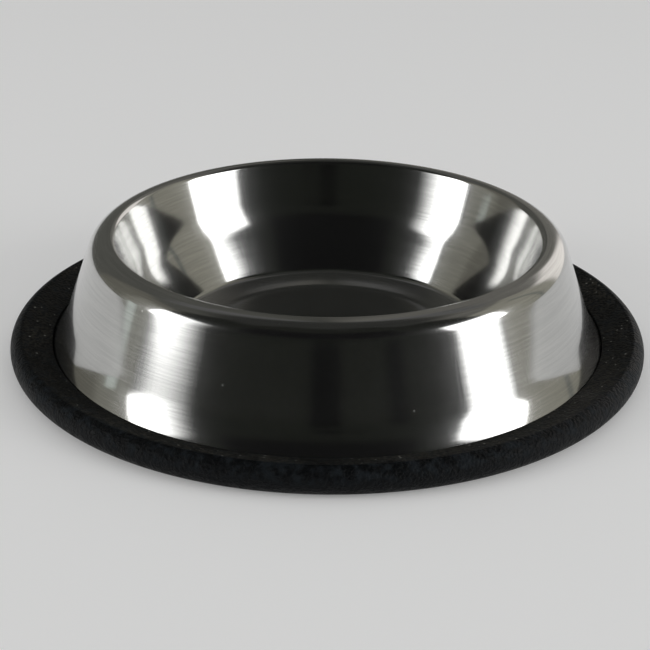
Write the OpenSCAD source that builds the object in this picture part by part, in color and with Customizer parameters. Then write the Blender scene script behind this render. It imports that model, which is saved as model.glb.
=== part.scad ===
// Non-tip pet bowl: one pressed steel sheet, gripped round its foot flange by a rubber ring.
// Millimetres, +Z up, origin on the floor at the centre of the bowl.

/* [Overall] */
// Diameter over the rubber ring, the widest part of the bowl
base_d = 220; // [212:1:240]
// Height of the rolled rim above the floor
bowl_h = 43; // [38:0.5:52]
// Diameter of the highest line of the rim
rim_d = 149.5; // [140:0.5:158]

/* [Steel sheet] */
// Thickness of the pressed sheet
sheet_t = 0.6; // [0.5:0.1:0.9]
// Outside radius of the bend from the rim into the dish
rim_bend_r = 2; // [1.6:0.1:3.5]
// Outside radius of the bend from the rim into the skirt
shoulder_bend_r = 7.8; // [5:0.1:9]
// Inside radius of the bend from the skirt into the flange
foot_bend_r = 2; // [1.5:0.1:2.6]
// Inside radius of the gentle flare just above that bend
flare_r = 35; // [25:1:50]
// Turn of the skirt's foot beyond a straight skirt, in degrees
flare_turn = 16; // [10:0.5:20]
// Width of the flat part of the flange
flange_w = 6.3; // [5.8:0.1:6.8]
// Height of the flange's underside above the floor
flange_lift = 4; // [3.5:0.1:4.4]

/* [Dish] */
// Height of the bottom's underside above the floor
floor_lift = 1; // [0.6:0.1:2.5]
// Distance from the line of the rim in to the knee, the corner where the wall turns steeper
knee_in = 8.1; // [7:0.1:9]
// Drop from the rim to the knee
knee_drop = 19.2; // [16:0.1:22]
// Inside radius of the bend at the knee
knee_bend_r = 40; // [25:1:50]
// Distance from the knee in to the heel, the corner between the wall and the shallow tray
heel_in = 11.8; // [10:0.1:14]
// Rise of the heel above the flat bottom
heel_rise = 3.2; // [2:0.1:4.5]
// Inside radius of the bend at the heel
heel_bend_r = 3.2; // [1.5:0.1:5]
// Width of the shallow tray, from the heel in to the corner of the flat bottom
tray_w = 9.8; // [7:0.1:13]
// Inside radius of the bend from the tray into the flat bottom
floor_bend_r = 16; // [10:0.5:22]

/* [Rubber ring] */
// Height of the ring, and the diameter of its round outer edge
ring_h = 10; // [9.5:0.1:11]
// Rubber from the flange's edge to the outside of the ring
ring_wall = 6.5; // [5.5:0.1:7.5]
// Distance from the outside of the ring in to the crest of its top face
crest_in = 3.9; // [3:0.1:4.8]
// Rise of the lip's inner face along the flare, from the foot bend to the lip's rounding
lip_rise = 0.3; // [0.2:0.1:1.5]
// Rounding of the lip's upper inner edge
lip_round_r = 0.4; // [0.3:0.1:0.6]
// Reach of the sole inward under the flange
sole_reach = 7.5; // [6:0.1:8.4]
// Rounding of the sole's lower inner edge
sole_round_r = 1; // [0.5:0.1:1.5]

/* [Fit] */
// Clearance between the lip and the bent sheet that its inner face follows
lip_gap = 0.3; // [0.2:0.05:0.4]
// Clearance between the flange's edge and the end of the groove
groove_gap = 0.3; // [0.1:0.05:0.5]

/* [Hidden] */
$fn = 180;
// Turn of an arc from one of its points to the next, in degrees
arc_step = 5;

// Steel: radii from the axis and heights above the floor
rim_r = rim_d / 2;
flange_r = base_d / 2 - ring_wall;
flange_top = flange_lift + sheet_t;
floor_top = floor_lift + sheet_t;

// Centres of the bends at the rim and the foot, as [radius, height]
rim_c = [rim_r, bowl_h - rim_bend_r];
shoulder_c = [rim_r, bowl_h - shoulder_bend_r];
foot_c = [flange_r - flange_w, flange_top + foot_bend_r];

// Direction that the flare faces where it runs into the foot bend, and the flare's centre
flare_face = facing(shoulder_c, shoulder_bend_r, foot_c, foot_bend_r, 1) + flare_turn;
flare_c = on_arc(foot_c, foot_bend_r - flare_r, flare_face - 180);

// Direction that the straight skirt faces
skirt_face = facing(shoulder_c, shoulder_bend_r, flare_c, flare_r, 1);

// Corners of the dish's upper face, and the directions that its three slopes face
knee = [rim_r - knee_in, bowl_h - knee_drop];
heel = [knee.x - heel_in, floor_top + heel_rise];
edge = [heel.x - tray_w, floor_top];
tray_face = 90 + slope(edge, heel);
wall_face = 90 + slope(heel, knee);
brim_face = 360 + facing(rim_c, rim_bend_r, knee, 0, -1);

// Centres of the bends that round these corners
edge_c = rounding(edge, floor_bend_r, 90, tray_face);
heel_c = rounding(heel, heel_bend_r, tray_face, wall_face);
knee_c = rounding(knee, knee_bend_r, wall_face, brim_face);

// Rubber: the round outer edge, the lip that follows the flare, and the sole
bead_r = ring_h / 2;
bead_c = [base_d / 2 - bead_r, bead_r];
crest_turn = acos((bead_r - crest_in) / bead_r);
lip_turn = 180 + flare_face - atan(lip_rise / flare_r);
lip_c = on_arc(flare_c, flare_r - lip_gap - lip_round_r, lip_turn);
top_run = on_arc(bead_c, bead_r, crest_turn) - lip_c;
top_face = atan2(top_run.y, top_run.x) + acos(lip_round_r / norm(top_run));
sole_c = [flange_r - sole_reach + sole_round_r, sole_round_r];

// Slope of the line from one point to another, in degrees
function slope(from, to) = atan2(to.y - from.y, to.x - from.x);

// Centre of the round of radius r that joins the faces on both sides of a corner
function rounding(corner, r, face, next) =
    on_arc(corner, r / cos((next - face) / 2), (face + next) / 2);

// Point of a circle with centre c and radius r, at a turn of a degrees from the horizontal
function on_arc(c, r, a) = [c.x + r * cos(a), c.y + r * sin(a)];

// Points along an arc, both ends included
function arc(c, r, from, to) =
    let (steps = ceil(abs(to - from) / arc_step))
    [for (i = [0:steps]) on_arc(c, r, from + (to - from) * i / steps)];

// Points of a list without its first
function tail(points) = [for (i = [1:len(points) - 1]) points[i]];

// Facing of the line that leaves an outward bend and runs into an inward bend
function facing(out_c, out_r, in_c, in_r, side) =
    let (run = in_c - out_c)
    atan2(run.y, run.x) + side * acos((out_r + in_r) / norm(run));

// One face of the sheet from the flange's edge to the axis, lying depth under its upper face
function sheet_face(depth) = concat(
    [[flange_r, flange_top - depth]],
    arc(foot_c, foot_bend_r + depth, -90, flare_face - 180),
    tail(arc(flare_c, flare_r + depth, flare_face - 180, skirt_face - 180)),
    arc(shoulder_c, shoulder_bend_r - depth, skirt_face, 90),
    arc(rim_c, rim_bend_r - depth, 90, brim_face),
    arc(knee_c, knee_bend_r + depth, brim_face - 180, wall_face - 180),
    arc(heel_c, heel_bend_r + depth, wall_face - 180, tray_face - 180),
    arc(edge_c, floor_bend_r + depth, tray_face - 180, -90),
    [[0, floor_top - depth]]
);

// Points of a list from its last to its first
function backwards(points) = [for (i = [len(points) - 1:-1:0]) points[i]];

module steel_bowl() {
    color([0.62, 0.63, 0.62])
        rotate_extrude()
            polygon(concat(sheet_face(0), backwards(sheet_face(sheet_t))));
}

module rubber_ring() {
    lip_root = arc(foot_c, foot_bend_r - lip_gap, -90, flare_face - 180);
    lip_back = arc(flare_c, flare_r - lip_gap, flare_face - 180, lip_turn - 360);
    lip_edge = arc(lip_c, lip_round_r, lip_turn, top_face);
    outer_edge = arc(bead_c, bead_r, crest_turn, -90);
    sole_edge = arc(sole_c, sole_round_r, -90, -180);
    groove = [
        [sole_c.x - sole_round_r, flange_lift],
        [flange_r + groove_gap, flange_lift],
        [flange_r + groove_gap, flange_top],
        [foot_c.x, flange_top]
    ];
    lip = concat(lip_root, tail(lip_back), tail(lip_edge));
    color([0.07, 0.075, 0.08])
        rotate_extrude()
            polygon(concat(groove, lip, outer_edge, sole_edge));
}

rubber_ring();
steel_bowl();
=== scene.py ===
"""Studio picture of a non-tip pet bowl: pressed steel, gripped by a black rubber ring."""

import math
from functools import partial

import bpy
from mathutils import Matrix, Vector


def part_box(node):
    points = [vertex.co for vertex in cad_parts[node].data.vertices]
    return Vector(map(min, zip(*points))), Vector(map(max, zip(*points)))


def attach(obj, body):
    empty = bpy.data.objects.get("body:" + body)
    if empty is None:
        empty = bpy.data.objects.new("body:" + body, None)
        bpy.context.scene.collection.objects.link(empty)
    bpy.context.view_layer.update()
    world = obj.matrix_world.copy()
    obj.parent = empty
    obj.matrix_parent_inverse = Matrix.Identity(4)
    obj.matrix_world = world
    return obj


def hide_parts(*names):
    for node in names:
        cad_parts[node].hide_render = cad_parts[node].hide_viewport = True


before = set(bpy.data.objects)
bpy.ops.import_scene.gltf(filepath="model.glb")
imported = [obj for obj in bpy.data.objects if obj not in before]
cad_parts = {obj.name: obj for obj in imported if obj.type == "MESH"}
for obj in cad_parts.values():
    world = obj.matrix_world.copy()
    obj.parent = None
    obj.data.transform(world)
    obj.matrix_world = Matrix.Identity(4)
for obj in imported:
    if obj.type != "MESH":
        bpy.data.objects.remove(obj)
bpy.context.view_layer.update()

MM = 0.001

# Overall sizes, in millimetres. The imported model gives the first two.
ring_low, ring_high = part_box("rubber_ring")
_, bowl_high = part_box("steel_bowl")
BASE_D = (ring_high.x - ring_low.x) / MM
BOWL_H = bowl_high.z / MM
RIM_D = 149.5

# Steel sheet, in millimetres and degrees
SHEET_T = 0.6
RIM_BEND_R = 2.0
SHOULDER_BEND_R = 7.8
FOOT_BEND_R = 2.0
FLARE_R = 35.0
FLARE_TURN = 16.0
FLANGE_W = 6.3
FLANGE_LIFT = 4.0

# Dish, in millimetres
FLOOR_LIFT = 1.0
KNEE_IN = 8.1
KNEE_DROP = 19.2
KNEE_BEND_R = 40.0
HEEL_IN = 11.8
HEEL_RISE = 3.2
HEEL_BEND_R = 3.2
TRAY_W = 9.8
FLOOR_BEND_R = 16.0

# Rubber ring, in millimetres
RING_H = 10.0
RING_WALL = 6.5
CREST_IN = 3.9
CREST_EASE = 0.35
LIP_RISE = 0.3
LIP_ROUND_R = 0.4
SOLE_REACH = 7.5
SOLE_ROUND_R = 1.0
LIP_GAP = 0.3
GROOVE_GAP = 0.3

# Meshes: the points in one turn, the longest steps along an outline in degrees of a bend and in
# millimetres, and the angle in degrees from which an edge is sharp
TURNS = 288
BEND_STEP = 3.0
STRETCH_STEP = 2.0
SHARP_ANGLE = 50.0

# Unevenness left by the press and the mould: the deepest that each place falls, in millimetres
WALL_WAVE = 0.04928
FLOOR_WAVE = 0.044
LIP_WAVE = 0.10
BEAD_WAVE = 0.07

# The waves round each place: how many there are in one turn, how far they drift per millimetre
# of height and where they start, both in radians, and their share
WALL_RUN = ((2, 0.0, 0.6, 1.0), (3, 0.05, 2.1, 0.8), (7, 0.11, 0.0, 0.22), (11, -0.09, 1.3, 0.22))
LIP_RUN = ((5, 0.0, 0.0, 1.0), (13, 0.0, 1.1, 1.0), (31, 0.0, 0.4, 0.6))
BEAD_RUN = ((4, 0.0, 2.0, 1.0), (9, 0.0, 0.0, 0.7), (23, 0.0, 0.0, 0.5))

# The waves along and across the dish's bottom, in radians per millimetre
FLOOR_RUN = 0.09, 0.07

# Where these waves are, in millimetres. The wall's grow out to FLAT_R, and over WAVE_RISE above
# the flange's underside. The bottom's die out over WAVE_RISE above the floor and end at HEEL_R.
# The lip's are deepest LIP_IN from the outside of the ring and end LIP_REACH from there. The
# bead's end BEAD_REACH from the outside and grow over BEAD_RISE above the floor.
FLAT_R = 45.0
HEEL_R = 58.0
WAVE_RISE = 6.0
LIP_IN = 15.0
LIP_REACH = 4.0
BEAD_REACH = 6.0
BEAD_RISE = 2.0


def on_bend(centre, radius, angle):
    """Point of a round bend, at that many degrees from the horizontal."""
    turn = math.radians(angle)
    return centre[0] + radius * math.cos(turn), centre[1] + radius * math.sin(turn)


def slope(start, end):
    """Slope of the line from one point to another, in degrees."""
    return math.degrees(math.atan2(end[1] - start[1], end[0] - start[0]))


def facing(out_centre, out_r, in_centre, in_r, side):
    """Facing of the straight stretch that joins an outward bend to an inward bend."""
    turn = math.acos((out_r + in_r) / math.dist(out_centre, in_centre))
    return slope(out_centre, in_centre) + side * math.degrees(turn)


def rounding(corner, radius, face, following):
    """Centre of the bend that joins the faces on both sides of a corner."""
    reach = radius / math.cos(math.radians((following - face) / 2))
    return on_bend(corner, reach, (face + following) / 2)


def bend(centre, radius, start, end, side):
    """Points of a bend with the way that they face: side 1 faces out of it, side -1 into it."""
    length = radius * math.radians(abs(end - start))
    steps = math.ceil(max(abs(end - start) / BEND_STEP, length / STRETCH_STEP))
    points = []
    for i in range(steps + 1):
        angle = start + (end - start) * i / steps
        turn = math.radians(angle)
        face = side * math.cos(turn), side * math.sin(turn)
        points.append((*on_bend(centre, radius, angle), *face))
    return points


def stretch(start, end):
    """Points between two others, which are left out, along a straight stretch."""
    steps = math.ceil(math.dist(start[:2], end[:2]) / STRETCH_STEP)
    return [
        tuple(a + (b - a) * i / steps for a, b in zip(start, end)) for i in range(1, steps)
    ]


def run_of(*bends):
    """One run of points through several bends, with straight stretches between them."""
    points = list(bends[0])
    for following in bends[1:]:
        points += stretch(points[-1], following[0])
        points += following
    return points


def skirt_bends():
    """Centres of the shoulder, the foot bend and the flare, and the facing between these two."""
    shoulder_c = RIM_D / 2, BOWL_H - SHOULDER_BEND_R
    foot_c = BASE_D / 2 - RING_WALL - FLANGE_W, FLANGE_LIFT + SHEET_T + FOOT_BEND_R
    flare_face = facing(shoulder_c, SHOULDER_BEND_R, foot_c, FOOT_BEND_R, 1) + FLARE_TURN
    flare_c = on_bend(foot_c, FOOT_BEND_R - FLARE_R, flare_face - 180)
    return shoulder_c, foot_c, flare_c, flare_face


def dish_corners():
    """Corners of the dish's upper face: the knee, the heel and the edge of the flat bottom."""
    knee = RIM_D / 2 - KNEE_IN, BOWL_H - KNEE_DROP
    heel = knee[0] - HEEL_IN, FLOOR_LIFT + SHEET_T + HEEL_RISE
    edge = heel[0] - TRAY_W, FLOOR_LIFT + SHEET_T
    return knee, heel, edge


def sheet_face():
    """The sheet's upper face from the flange's edge to the axis, as radius, height and facing."""
    shoulder_c, foot_c, flare_c, flare_face = skirt_bends()
    rim_c = RIM_D / 2, BOWL_H - RIM_BEND_R
    knee, heel, edge = dish_corners()
    skirt_face = facing(shoulder_c, SHOULDER_BEND_R, flare_c, FLARE_R, 1)
    tray_face = 90 + slope(edge, heel)
    wall_face = 90 + slope(heel, knee)
    brim_face = 360 + facing(rim_c, RIM_BEND_R, knee, 0, -1)
    knee_c = rounding(knee, KNEE_BEND_R, wall_face, brim_face)
    heel_c = rounding(heel, HEEL_BEND_R, tray_face, wall_face)
    edge_c = rounding(edge, FLOOR_BEND_R, 90, tray_face)
    return run_of(
        [(BASE_D / 2 - RING_WALL, FLANGE_LIFT + SHEET_T, 0.0, 1.0)],
        bend(foot_c, FOOT_BEND_R, -90, flare_face - 180, -1),
        bend(flare_c, FLARE_R, flare_face - 180, skirt_face - 180, -1)[1:],
        bend(shoulder_c, SHOULDER_BEND_R, skirt_face, 90, 1),
        bend(rim_c, RIM_BEND_R, 90, brim_face, 1)[1:],
        bend(knee_c, KNEE_BEND_R, brim_face - 180, wall_face - 180, -1),
        bend(heel_c, HEEL_BEND_R, wall_face - 180, tray_face - 180, -1),
        bend(edge_c, FLOOR_BEND_R, tray_face - 180, -90, -1),
        [(0.0, FLOOR_LIFT + SHEET_T, 0.0, 1.0)],
    )


def ring_outline():
    """The rubber ring's outline, as radius, height and facing."""
    flange_r = BASE_D / 2 - RING_WALL
    flange_top = FLANGE_LIFT + SHEET_T
    _, foot_c, flare_c, flare_face = skirt_bends()

    # The bead: its crest is where the top face meets it
    bead_r = RING_H / 2
    bead_c = BASE_D / 2 - bead_r, bead_r
    crest_turn = math.degrees(math.acos((bead_r - CREST_IN) / bead_r))
    crest = on_bend(bead_c, bead_r, crest_turn)
    ease_turn = math.degrees(CREST_EASE / bead_r)
    outer_edge = bend(bead_c, bead_r, crest_turn - ease_turn, -90, 1)

    # The lip, whose inner face follows the flare
    lip_turn = 180 + flare_face - math.degrees(math.atan(LIP_RISE / FLARE_R))
    lip_c = on_bend(flare_c, FLARE_R - LIP_GAP - LIP_ROUND_R, lip_turn)
    top_turn = math.acos(LIP_ROUND_R / math.dist(lip_c, crest))
    top_face = slope(lip_c, crest) + math.degrees(top_turn)
    lip_root = bend(foot_c, FOOT_BEND_R - LIP_GAP, -90, flare_face - 180, 1)
    lip_back = bend(flare_c, FLARE_R - LIP_GAP, flare_face - 180, lip_turn - 360, 1)[1:]
    lip_edge = bend(lip_c, LIP_ROUND_R, lip_turn, top_face, 1)[1:]

    # The crest is eased: one point before it on the top face, and one just inside it
    up = on_bend((0.0, 0.0), 1.0, top_face)
    before = crest[0] - up[1] * CREST_EASE, crest[1] + up[0] * CREST_EASE, *up
    middle = [(a + b) / 2 for a, b in zip(before, outer_edge[0])]
    inside = [(a + b) / 2 for a, b in zip(middle, crest)]

    # The groove, whose faces look in over the sole and under the lip, and the sole's rounding
    sole_c = flange_r - SOLE_REACH + SOLE_ROUND_R, SOLE_ROUND_R
    over_sole = -1.0, 1.0
    under_lip = -1.0, -1.0
    return run_of(
        [(sole_c[0] - SOLE_ROUND_R, FLANGE_LIFT, *over_sole)],
        [(flange_r + GROOVE_GAP, FLANGE_LIFT, *over_sole)],
        [(flange_r + GROOVE_GAP, flange_top, *under_lip)],
        [(foot_c[0], flange_top, *under_lip)],
        lip_root,
        lip_back,
        lip_edge,
        [before],
        [(*inside, *middle[2:])],
        outer_edge,
        bend(sole_c, SOLE_ROUND_R, -90, -180, 1),
    )


def inward(run, height, turn):
    """How low a run of waves is at one turn, from 0 where all are high to -1 where all are low."""
    waves = 0.0
    whole = 0.0
    for count, drift, start, share in run:
        waves += share * math.sin(count * turn + drift * height + start)
        whole += share
    return (waves / whole - 1) / 2


def press_wave(radius, height, turn):
    """How far the press left the sheet off its true face. It only ever falls inside it."""
    wall = min(1.0, radius / FLAT_R) * min(1.0, max(0.0, (height - FLANGE_LIFT) / WAVE_RISE))
    flat = max(0.0, 1 - height / WAVE_RISE) * (radius < HEEL_R)
    along = math.sin(FLOOR_RUN[0] * radius * math.cos(turn))
    across = math.cos(FLOOR_RUN[1] * radius * math.sin(turn))
    fall = wall * WALL_WAVE * inward(WALL_RUN, height, turn)
    return fall + flat * FLOOR_WAVE * (along * across - 1) / 2


def mould_wave(radius, height, turn):
    """How far the soft ring stands off its true face. It only ever falls inside it."""
    lip = max(0.0, 1 - abs(radius - (BASE_D / 2 - LIP_IN)) / LIP_REACH)
    lip *= height > FLANGE_LIFT + SHEET_T
    bead = max(0.0, 1 - (BASE_D / 2 - radius) / BEAD_REACH) * min(1.0, height / BEAD_RISE)
    fall = lip * LIP_WAVE * inward(LIP_RUN, height, turn)
    return fall + bead * BEAD_WAVE * inward(BEAD_RUN, height, turn)


def ring_at(radius, height, face, wave):
    """One outline point at every turn, moved along its facing by wave(turn)."""
    if radius == 0.0:
        return [(0.0, 0.0, height)]
    ring = []
    for i in range(TURNS):
        turn = 2 * math.pi * i / TURNS
        off = wave(turn)
        r = radius + off * face[0]
        ring.append((r * math.cos(turn), r * math.sin(turn), height + off * face[1]))
    return ring


def lathe(name, rings):
    """A mesh turned from rings of points. A ring is one point of the closed outline at every
    turn, or a single point on the axis."""
    points = []
    starts = []
    for ring in rings:
        starts.append((len(points), len(ring)))
        points += ring
    faces = []
    for (a, size_a), (b, size_b) in zip(starts, starts[1:] + starts[:1]):
        if size_a == size_b == 1:
            continue
        for i in range(TURNS):
            j = (i + 1) % TURNS
            if size_a == 1:
                faces.append((a, b + j, b + i))
            elif size_b == 1:
                faces.append((a + i, a + j, b))
            else:
                faces.append((a + i, a + j, b + j, b + i))
    mesh = bpy.data.meshes.new(name)
    mesh.from_pydata([Vector(p) * MM for p in points], [], faces)
    mesh.validate()
    mesh.update()
    for face in mesh.polygons:
        face.use_smooth = True
    mesh.set_sharp_from_angle(angle=math.radians(SHARP_ANGLE))
    piece = bpy.data.objects.new(name, mesh)
    bpy.context.scene.collection.objects.link(piece)
    return piece


def steel_bowl():
    """The pressed sheet: its upper face, the edge of its flange and its under face."""
    upper = sheet_face()
    rings = []
    for radius, height, *face in upper:
        rings.append(ring_at(radius, height, face, partial(press_wave, radius, height)))
    for radius, height, *face in reversed(upper):
        under = radius - SHEET_T * face[0], height - SHEET_T * face[1]
        rings.append(ring_at(*under, face, partial(press_wave, radius, height)))
    return lathe("pressed_bowl", rings)


def rubber_ring():
    """The moulded ring that grips the flange."""
    rings = []
    for radius, height, *face in ring_outline():
        rings.append(ring_at(radius, height, face, partial(mould_wave, radius, height)))
    return lathe("moulded_ring", rings)


def place(tree, kind, inputs=None, **settings):
    """Adds a node to a tree. An input's value is a number, a colour, or a socket to link from."""
    made = tree.nodes.new(kind)
    for name, value in settings.items():
        setattr(made, name, value)
    for key, value in (inputs or {}).items():
        socket = made.inputs[key]
        if isinstance(value, bpy.types.NodeSocket):
            tree.links.new(value, socket)
        else:
            socket.default_value = value
    return made


def calc(tree, operation, *values):
    """The result of one Math node."""
    made = place(tree, "ShaderNodeMath", dict(enumerate(values)), operation=operation)
    return made.outputs[0]


def ease(tree, value, low, high, to_low=0.0, to_high=1.0):
    """A smooth step of a value from to_low to to_high as it goes from low to high."""
    inputs = {"Value": value, "From Min": low, "From Max": high}
    inputs |= {"To Min": to_low, "To Max": to_high}
    made = place(tree, "ShaderNodeMapRange", inputs, interpolation_type="SMOOTHSTEP")
    return made.outputs["Result"]


def between(tree, share, low, high):
    """A number from low, where the share is 0, to high, where it is 1."""
    return calc(tree, "MULTIPLY_ADD", share, high - low, low)


def layered(tree, base, *layers):
    """A base number with layers added to it, each a value and its share."""
    for value, share in layers:
        base = calc(tree, "MULTIPLY_ADD", value, share, base)
    return base


def mix(tree, share, first, second):
    """A mix of two colours."""
    inputs = {"Factor": share, 6: first, 7: second}
    return place(tree, "ShaderNodeMix", inputs, data_type="RGBA").outputs[2]


def bumps(tree, *layers):
    """The normal over layers of bumps, each a height and its depth in metres."""
    inputs = {}
    for height, depth in layers:
        inputs |= {"Height": height, "Distance": depth, "Strength": 1.0}
        inputs["Normal"] = place(tree, "ShaderNodeBump", inputs).outputs[0]
    return inputs["Normal"]


def new_group(name, output, **inputs):
    """A shader node group with one output. Its inputs are named here with their defaults."""
    tree = bpy.data.node_groups.new(name, "ShaderNodeTree")
    for key, value in inputs.items():
        label = key.replace("_", " ")
        socket = tree.interface.new_socket(label, in_out="INPUT", socket_type="NodeSocketFloat")
        socket.default_value = value
    tree.interface.new_socket(output, in_out="OUTPUT", socket_type="NodeSocketFloat")
    given = tree.nodes.new("NodeGroupInput").outputs
    return tree, given, tree.nodes.new("NodeGroupOutput").inputs[output]


def use_group(tree, group, **inputs):
    """The output of a group placed in a material with its own values."""
    made = tree.nodes.new("ShaderNodeGroup")
    made.node_tree = group
    for key, value in inputs.items():
        made.inputs[key.replace("_", " ")].default_value = value
    return made.outputs[0]


def fine_lines_group():
    """Fine lines. Many waves per metre and few per radian give lines that run round the axis, as
    a lathe or a turned mould leaves them. The other way about they run up and down the walls."""
    defaults = {"Waves_per_radian": 4.0, "Waves_per_metre": 1500.0, "Detail": 3.0}
    tree, given, lines = new_group("fine lines", "Lines", **defaults)
    least_r = 0.1 * MM
    where = place(tree, "ShaderNodeTexCoord").outputs["Object"]
    x, y, z = place(tree, "ShaderNodeSeparateXYZ", {0: where}).outputs
    squares = calc(tree, "ADD", calc(tree, "MULTIPLY", x, x), calc(tree, "MULTIPLY", y, y))
    radius = calc(tree, "MAXIMUM", calc(tree, "SQRT", squares), least_r)
    around = []
    for axis in (x, y):
        share = calc(tree, "DIVIDE", axis, radius)
        around.append(calc(tree, "MULTIPLY", share, given["Waves per radian"]))
    outward = calc(tree, "MULTIPLY", radius, given["Waves per metre"])
    upward = calc(tree, "MULTIPLY", z, given["Waves per metre"])
    inputs = {0: around[0], 1: around[1], 2: outward}
    vector = place(tree, "ShaderNodeCombineXYZ", inputs).outputs[0]
    inputs = {"Vector": vector, "W": upward, "Scale": 1.0, "Detail": given["Detail"]}
    cloud = place(tree, "ShaderNodeTexNoise", inputs, noise_dimensions="4D")
    tree.links.new(cloud.outputs["Fac"], lines)
    return tree


def dust_group():
    """Scattered specks. Each cell has one of its own size, or none."""
    defaults = {"Specks_per_metre": 250.0, "Size": 0.06, "Kept": 0.3}
    tree, given, specks = new_group("dust specks", "Specks", **defaults)
    smallest = 0.25
    soft_edge = 0.5
    where = place(tree, "ShaderNodeTexCoord").outputs["Object"]
    inputs = {"Vector": where, "Scale": given["Specks per metre"]}
    cells = place(tree, "ShaderNodeTexVoronoi", inputs)
    lot = place(tree, "ShaderNodeSeparateColor", {0: cells.outputs["Color"]}).outputs
    size = calc(tree, "MULTIPLY", given["Size"], calc(tree, "ADD", lot[1], smallest))
    distance = calc(tree, "DIVIDE", cells.outputs["Distance"], size)
    inside = ease(tree, distance, 1.0, soft_edge)
    kept = calc(tree, "LESS_THAN", lot[0], given["Kept"])
    tree.links.new(calc(tree, "MULTIPLY", inside, kept), specks)
    return tree


def patches_group():
    """Soft uneven patches, for haze, handling and faded rubber."""
    defaults = {"Patches_per_metre": 30.0, "Detail": 3.0, "From": 0.35, "To": 0.65}
    tree, given, patches = new_group("uneven patches", "Patches", **defaults)
    where = place(tree, "ShaderNodeTexCoord").outputs["Object"]
    inputs = {"Vector": where, "Scale": given["Patches per metre"], "Detail": given["Detail"]}
    cloud = place(tree, "ShaderNodeTexNoise", inputs)
    tree.links.new(ease(tree, cloud.outputs["Fac"], given["From"], given["To"]), patches)
    return tree


def new_material(name):
    """An empty material with its node tree and the inputs of its Principled shader."""
    made = bpy.data.materials.new(name)
    made.use_nodes = True
    return made, made.node_tree, made.node_tree.nodes["Principled BSDF"].inputs


# Steel: the tones between the turned lines, on them and of a speck, how many lines the press drew
# in one turn, their length in millimetres, and the depths of both kinds of line in millimetres
STEEL_LOW = (0.44, 0.44, 0.43, 1)
STEEL_HIGH = (0.52, 0.52, 0.505, 1)
STEEL_SPECK = (0.8, 0.8, 0.77, 1)
DRAWN_PER_TURN = 1500.0
DRAWN_LENGTH = 12.0
TURNED_DEPTH = 0.0004
DRAWN_DEPTH = 0.001


def polished_steel(lines, dust, patches):
    """Mirror-polished stainless steel with the fine lines of the lathe and of the press. Its coat
    is the thin haze that spreads a bright lamp's reflection."""
    made, tree, shader = new_material("polished stainless steel")
    turned = use_group(tree, lines, Waves_per_radian=4.0, Waves_per_metre=2200.0, Detail=3.0)
    upright_waves = {
        "Waves_per_radian": DRAWN_PER_TURN / math.tau,
        "Waves_per_metre": 1 / (DRAWN_LENGTH * MM),
    }
    drawn = use_group(tree, lines, **upright_waves, Detail=2.0)
    haze = use_group(tree, patches, Patches_per_metre=30.0, Detail=4.0, From=0.4, To=0.72)
    specks = use_group(tree, dust, Specks_per_metre=190.0, Size=0.06, Kept=0.10)
    across = ease(tree, turned, 0.3, 0.7)
    upright = ease(tree, drawn, 0.3, 0.7)
    tone = mix(tree, specks, mix(tree, across, STEEL_LOW, STEEL_HIGH), STEEL_SPECK)
    film = layered(tree, 0.65, (haze, 0.20), (upright, 0.20), (across, 0.10))
    rough = layered(tree, 0.065, (across, 0.02), (upright, 0.03), (specks, 0.35))
    normal = bumps(tree, (turned, TURNED_DEPTH * MM), (drawn, DRAWN_DEPTH * MM))
    shader["Metallic"].default_value = 1.0
    shader["Coat Roughness"].default_value = 0.25
    shader["Coat IOR"].default_value = 2.0
    tree.links.new(tone, shader["Base Color"])
    tree.links.new(film, shader["Coat Weight"])
    tree.links.new(rough, shader["Roughness"])
    tree.links.new(normal, shader["Normal"])
    return made


# Rubber: its darkest tone and its bluish mottle, a painted sheen on what faces up, those of the
# grit and specks that settle on its top face, and in millimetres the width over which these fade
# at the crest and the depths of the grain and of the mould's lines
RUBBER_DARK = (0.0020, 0.0027, 0.0034, 1)
RUBBER_SHEEN_MOTTLE = (0.0100, 0.0134, 0.0165, 1)
RUBBER_GRIT = (0.046, 0.043, 0.034, 1)
RUBBER_SPECK = (0.26, 0.26, 0.235, 1)
DUST_EDGE = 0.9
GRAIN_DEPTH = 0.24
MOULDED_DEPTH = 0.05


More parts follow.
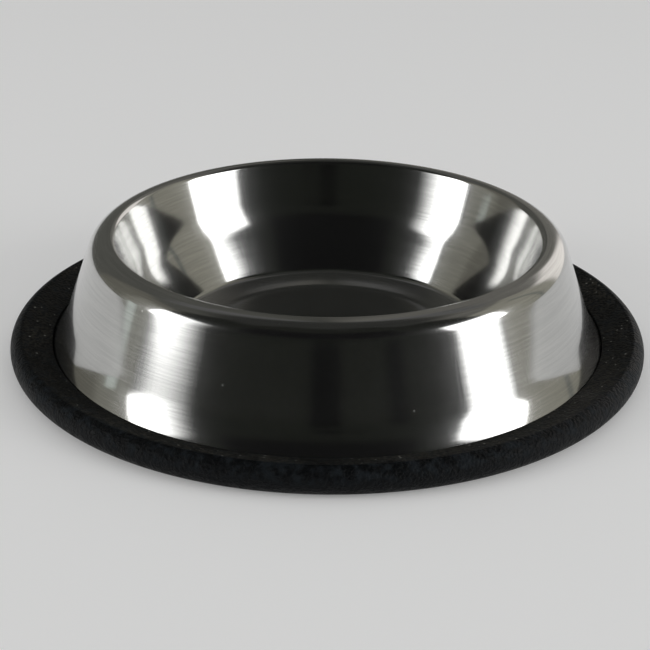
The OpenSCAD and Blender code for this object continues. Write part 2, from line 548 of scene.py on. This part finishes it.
def black_rubber(lines, dust, patches):
    """Moulded black rubber: coarse matte grain, faint mould lines, and dust on its top face."""
    made, tree, shader = new_material("black moulded rubber")
    grain = use_group(tree, patches, Patches_per_metre=900.0, Detail=3.0, From=0.35, To=0.65)
    mottle = use_group(tree, patches, Patches_per_metre=300.0, Detail=5.0, From=0.42, To=0.66)
    faded = use_group(tree, patches, Patches_per_metre=60.0, Detail=6.0, From=0.35, To=0.7)
    moulded = use_group(tree, lines, Waves_per_radian=6.0, Waves_per_metre=900.0, Detail=3.0)
    specks = use_group(tree, dust, Specks_per_metre=420.0, Size=0.18, Kept=0.42)

    # Dust settles on what faces up, as far out as the crest
    where = place(tree, "ShaderNodeTexCoord").outputs["Object"]
    inputs = {0: where, 1: (1.0, 1.0, 0.0)}
    flat = place(tree, "ShaderNodeVectorMath", inputs, operation="MULTIPLY").outputs[0]
    radius = place(tree, "ShaderNodeVectorMath", {0: flat}, operation="LENGTH").outputs[1]
    normal = place(tree, "ShaderNodeNewGeometry").outputs["Normal"]
    upward = place(tree, "ShaderNodeSeparateXYZ", {0: normal}).outputs[2]
    crest = (BASE_D / 2 - CREST_IN) * MM
    on_top = ease(tree, radius, crest, crest - DUST_EDGE * MM)
    settled = calc(tree, "MULTIPLY", ease(tree, upward, 0.55, 0.93), on_top)
    dusty = calc(tree, "MULTIPLY", settled, ease(tree, faded, 0.0, 1.0, 0.35, 1.0))

    # Painted sheen and shade: the lighter mottled tone shows on what faces up and fades out
    # downwards, so the underside is painted darker
    mottle_painted_sheen = calc(tree, "MULTIPLY", mottle, ease(tree, upward, -0.3, 0.6))
    grit = calc(tree, "MULTIPLY", dusty, ease(tree, grain, 0.2, 0.9, 0.15, 0.8))
    tone = mix(tree, mottle_painted_sheen, RUBBER_DARK, RUBBER_SHEEN_MOTTLE)
    tone = mix(tree, grit, tone, RUBBER_GRIT)
    tone = mix(tree, calc(tree, "MULTIPLY", specks, settled), tone, RUBBER_SPECK)
    rough = layered(tree, 0.45, (mottle, 0.15), (dusty, 0.2))
    normal = bumps(tree, (grain, GRAIN_DEPTH * MM), (moulded, MOULDED_DEPTH * MM))
    shader["Specular IOR Level"].default_value = 0.14
    tree.links.new(tone, shader["Base Color"])
    tree.links.new(rough, shader["Roughness"])
    tree.links.new(normal, shader["Normal"])
    return made


# Studio, in metres and degrees. Azimuth 0 is towards the camera and 90 to the right.

# Floor: its size, its colour, and the paleness that the camera and the steel see on it as well
FLOOR_R = 6.0
FLOOR_SIDES = 96
FLOOR_TONE = (0.78, 0.78, 0.775, 1)
FLOOR_SHEEN = (1.0, 1.0, 0.995, 1)
FLOOR_GLOW = 0.18

# The room's even light on every surface, and the tone that the camera sees beyond the floor
AMBIENT = (0.42, 0.42, 0.42, 1)
PALE = (0.85, 0.85, 0.845, 1)

# Camera: its place in metres, its pitch and roll in degrees, its lens and sensor in millimetres,
# and its shift as a share of the sensor
CAMERA_PLACE = (0.0, -0.5203, 0.2418)
CAMERA_DOWN = 24.35
CAMERA_ROLL = 0.58
CAMERA_LENS = 89.83
CAMERA_SENSOR = 36.0
CAMERA_SHIFT = (-0.0038, 0.0015)

# Places on a softbox run across it from 0, at the side nearer the camera, to 1, and up it from 0,
# at its foot, to 1. Up to raise_span it has its base glow, and fades at its far side over far_fade
# until far_end. Above that it has its full glow, and fades over SOFTBOX_FAR_FADE until
# SOFTBOX_FAR_END. Its near side brightens across near_low up to SOFTBOX_LEAN_SPAN, and across
# near_high above it. It fades out upwards over SOFTBOX_TOP_SPAN. Its full glow is
# SOFTBOX_RADIANCE, in watts per square metre and steradian.
SOFTBOXES = {
    "softbox_left": {
        "azimuth": -69.5, "width": 1.01, "raise_span": (0.04, 0.15), "base": 0.36,
        "near_low": (0.02, 0.74), "near_high": (0.04, 0.72), "far_end": 0.99, "far_fade": 0.50,
    },
    "softbox_right": {
        "azimuth": 70.5, "width": 1.01, "raise_span": (0.08, 0.18), "base": 0.75,
        "near_low": (0.09, 0.27), "near_high": (0.0, 0.17), "far_end": 0.85, "far_fade": 0.19,
    },
}
SOFTBOX_HEIGHT = 1.85
SOFTBOX_LEAN_SPAN = (0.12, 0.32)
SOFTBOX_TOP_SPAN = (0.50, 0.62)
SOFTBOX_FAR_END = 0.97
SOFTBOX_FAR_FADE = 0.05
SOFTBOX_DISTANCE = 1.6
SOFTBOX_RADIANCE = 4.0
LAMP_CLEARANCE = 0.01

# What the steel mirrors besides the softboxes: FRONT_TONE, with panels painted over it in this
# order. Each panel has its span of azimuth and of elevation, the width of its soft edge, its lean
# in degrees of azimuth per degree of elevation, and its tone.
FRONT_TONE = (0.012, 0.0135, 0.0105, 1)
CEILING_PANELS = (
    ((-190, 190), (64, 100), 10, 0.0, (0.036, 0.037, 0.034)),
    ((-60, 60), (50, 79), 10, 0.0, (0.014, 0.015, 0.012)),
)
SIDE_PANELS = (
    ((-180, -92), (-5, 62), 14, 0.0, (0.10, 0.10, 0.09)),
    ((88, 180), (-5, 62), 14, 0.0, (0.17, 0.165, 0.15)),
    ((-128, -88), (-5, 44), 6, 0.0, (0.165, 0.16, 0.135)),
    ((-106, -86), (-5, 36), 6, 0.0, (0.25, 0.245, 0.21)),
    ((84, 128), (-5, 46), 4, 0.0, (0.33, 0.32, 0.27)),
    ((-101, -95), (-4, 7), 3, 0.0, (0.66, 0.72, 0.68)),
    ((112, 115), (-2, 40), 2, 0.0, (0.16, 0.17, 0.16)),
    ((128, 156), (-2, 30), 7, 0.0, (1.1, 1.05, 1.0)),
    ((-128, -84), (50, 62), 8, -0.8, (0.14, 0.14, 0.14)),
    ((80, 124), (50, 62), 8, 0.8, (0.14, 0.14, 0.14)),
)
FRONT_PANELS = (
    ((-60, 56), (-5, 15), 6, 0.0, (0.0115, 0.0125, 0.0095)),
    ((-7, 6), (-5, 16), 5, 0.0, (0.0, 0.0, 0.0)),
    ((26, 33), (-5, 15), 5, 0.0, (0.001, 0.001, 0.001)),
    ((-45, 40), (30, 58), 8, 0.0, (0.004, 0.004, 0.004)),
    ((-5, 6), (18.4, 23.2), 7, 0.0, (0.001, 0.001, 0.001)),
    ((9, 15), (19.5, 22.2), 2, 0.0, (0.005, 0.005, 0.004)),
)


def studio_floor():
    """A plain pale floor, wide enough to run past every view."""
    rim = []
    for i in range(FLOOR_SIDES):
        turn = 2 * math.pi * i / FLOOR_SIDES
        rim.append((FLOOR_R * math.cos(turn), FLOOR_R * math.sin(turn), 0.0))
    mesh = bpy.data.meshes.new("studio_floor")
    mesh.from_pydata(rim, [], [tuple(range(FLOOR_SIDES))])
    mesh.materials.append(pale_floor())
    piece = bpy.data.objects.new("studio_floor", mesh)
    bpy.context.scene.collection.objects.link(piece)


def pale_floor():
    """The floor's matte finish. The camera and the steel see it with the same added paleness."""
    made, tree, shader = new_material("pale floor")
    shader["Base Color"].default_value = FLOOR_TONE
    shader["Roughness"].default_value = 0.9
    shader["Specular IOR Level"].default_value = 0.1
    shader["Emission Color"].default_value = FLOOR_SHEEN
    path = place(tree, "ShaderNodeLightPath").outputs
    seen = calc(tree, "MAXIMUM", path["Is Glossy Ray"], path["Is Transmission Ray"])
    seen = calc(tree, "MAXIMUM", seen, path["Is Camera Ray"])
    tree.links.new(calc(tree, "MULTIPLY", seen, FLOOR_GLOW), shader["Emission Strength"])
    return made


def softbox(name, *, azimuth, width, raise_span, base, near_low, near_high, far_end, far_fade):
    """An upright soft lamp on the floor, whose glow changes across it and with height."""
    lamp = bpy.data.lights.new(name, "AREA")
    lamp.shape = "RECTANGLE"
    lamp.size = width
    lamp.size_y = SOFTBOX_HEIGHT
    lamp.energy = SOFTBOX_RADIANCE * math.pi * width * SOFTBOX_HEIGHT
    lamp.use_nodes = True
    tree = lamp.node_tree
    where = place(tree, "ShaderNodeNewGeometry").outputs["Parametric"]
    across, up, _ = place(tree, "ShaderNodeSeparateXYZ", {0: where}).outputs
    if azimuth < 0:
        across = calc(tree, "SUBTRACT", 1.0, across)
    raised = ease(tree, up, *raise_span)
    leant = ease(tree, up, *SOFTBOX_LEAN_SPAN)
    start, bright = (between(tree, leant, *ends) for ends in zip(near_low, near_high))
    end = between(tree, raised, far_end, SOFTBOX_FAR_END)
    full = calc(tree, "SUBTRACT", end, between(tree, raised, far_fade, SOFTBOX_FAR_FADE))
    glow = between(tree, raised, base, 1.0)
    glow = calc(tree, "MULTIPLY", glow, ease(tree, across, start, bright))
    glow = calc(tree, "MULTIPLY", glow, ease(tree, up, *SOFTBOX_TOP_SPAN, 1.0, 0.0))
    glow = calc(tree, "MULTIPLY", glow, ease(tree, across, end, full))
    tree.links.new(glow, tree.nodes["Emission"].inputs["Strength"])
    piece = bpy.data.objects.new(name, lamp)
    turn = math.radians(azimuth)
    out = Vector((math.sin(turn), -math.cos(turn), 0.0))
    rise = Vector((0.0, 0.0, SOFTBOX_HEIGHT / 2 + LAMP_CLEARANCE))
    piece.location = out * SOFTBOX_DISTANCE + rise
    piece.rotation_mode = "QUATERNION"
    piece.rotation_quaternion = out.to_track_quat("Z", "Y")
    piece.visible_camera = False
    bpy.context.scene.collection.objects.link(piece)


def within(tree, value, span, soft):
    """1 inside a span and 0 outside it, with a soft edge."""
    start, end = span
    inside = ease(tree, value, start - soft / 2, start + soft / 2)
    return calc(tree, "MULTIPLY", inside, ease(tree, value, end + soft / 2, end - soft / 2))


def studio_world():
    """The room: dark on the camera's side, with grey panels and streaks beyond the softboxes."""
    world = bpy.data.worlds.new("studio")
    world.use_nodes = True
    bpy.context.scene.world = world
    tree = world.node_tree
    tree.nodes.clear()
    where = place(tree, "ShaderNodeTexCoord").outputs["Generated"]
    x, y, z = place(tree, "ShaderNodeSeparateXYZ", {0: where}).outputs
    turn = calc(tree, "DEGREES", calc(tree, "ARCTAN2", x, calc(tree, "MULTIPLY", y, -1.0)))
    rise = calc(tree, "DEGREES", calc(tree, "ARCSINE", z))
    room = FRONT_TONE
    for turn_span, rise_span, soft, lean, tone in CEILING_PANELS + SIDE_PANELS + FRONT_PANELS:
        across = calc(tree, "MULTIPLY_ADD", rise, -lean, turn)
        inside = within(tree, across, turn_span, soft)
        inside = calc(tree, "MULTIPLY", inside, within(tree, rise, rise_span, soft))
        room = mix(tree, inside, room, (*tone, 1))
    path = place(tree, "ShaderNodeLightPath").outputs
    mirrored = calc(tree, "MAXIMUM", path["Is Glossy Ray"], path["Is Transmission Ray"])
    soft_light = mix(tree, path["Is Camera Ray"], AMBIENT, PALE)
    seen = mix(tree, mirrored, soft_light, room)
    background = place(tree, "ShaderNodeBackground", {"Color": seen})
    place(tree, "ShaderNodeOutputWorld", {0: background.outputs[0]})


def camera():
    """The camera, in front of the bowl and looking down into it."""
    data = bpy.data.cameras.new("camera")
    data.lens = CAMERA_LENS
    data.sensor_width = CAMERA_SENSOR
    data.shift_x, data.shift_y = CAMERA_SHIFT
    piece = bpy.data.objects.new("camera", data)
    piece.location = CAMERA_PLACE
    piece.rotation_mode = "ZXY"
    piece.rotation_euler = (math.radians(90 - CAMERA_DOWN), 0.0, math.radians(CAMERA_ROLL))
    bpy.context.scene.collection.objects.link(piece)
    bpy.context.scene.camera = piece


fine_lines = fine_lines_group()
dust_specks = dust_group()
uneven_patches = patches_group()

bowl = steel_bowl()
bowl.data.materials.append(polished_steel(fine_lines, dust_specks, uneven_patches))
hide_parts("steel_bowl")
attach(bowl, "bowl")

ring = rubber_ring()
ring.data.materials.append(black_rubber(fine_lines, dust_specks, uneven_patches))
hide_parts("rubber_ring")
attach(ring, "ring")

studio_floor()
for lamp_name, lamp_sizes in SOFTBOXES.items():
    softbox(lamp_name, **lamp_sizes)
studio_world()
camera()
bpy.context.scene.view_settings.view_transform = "Standard"
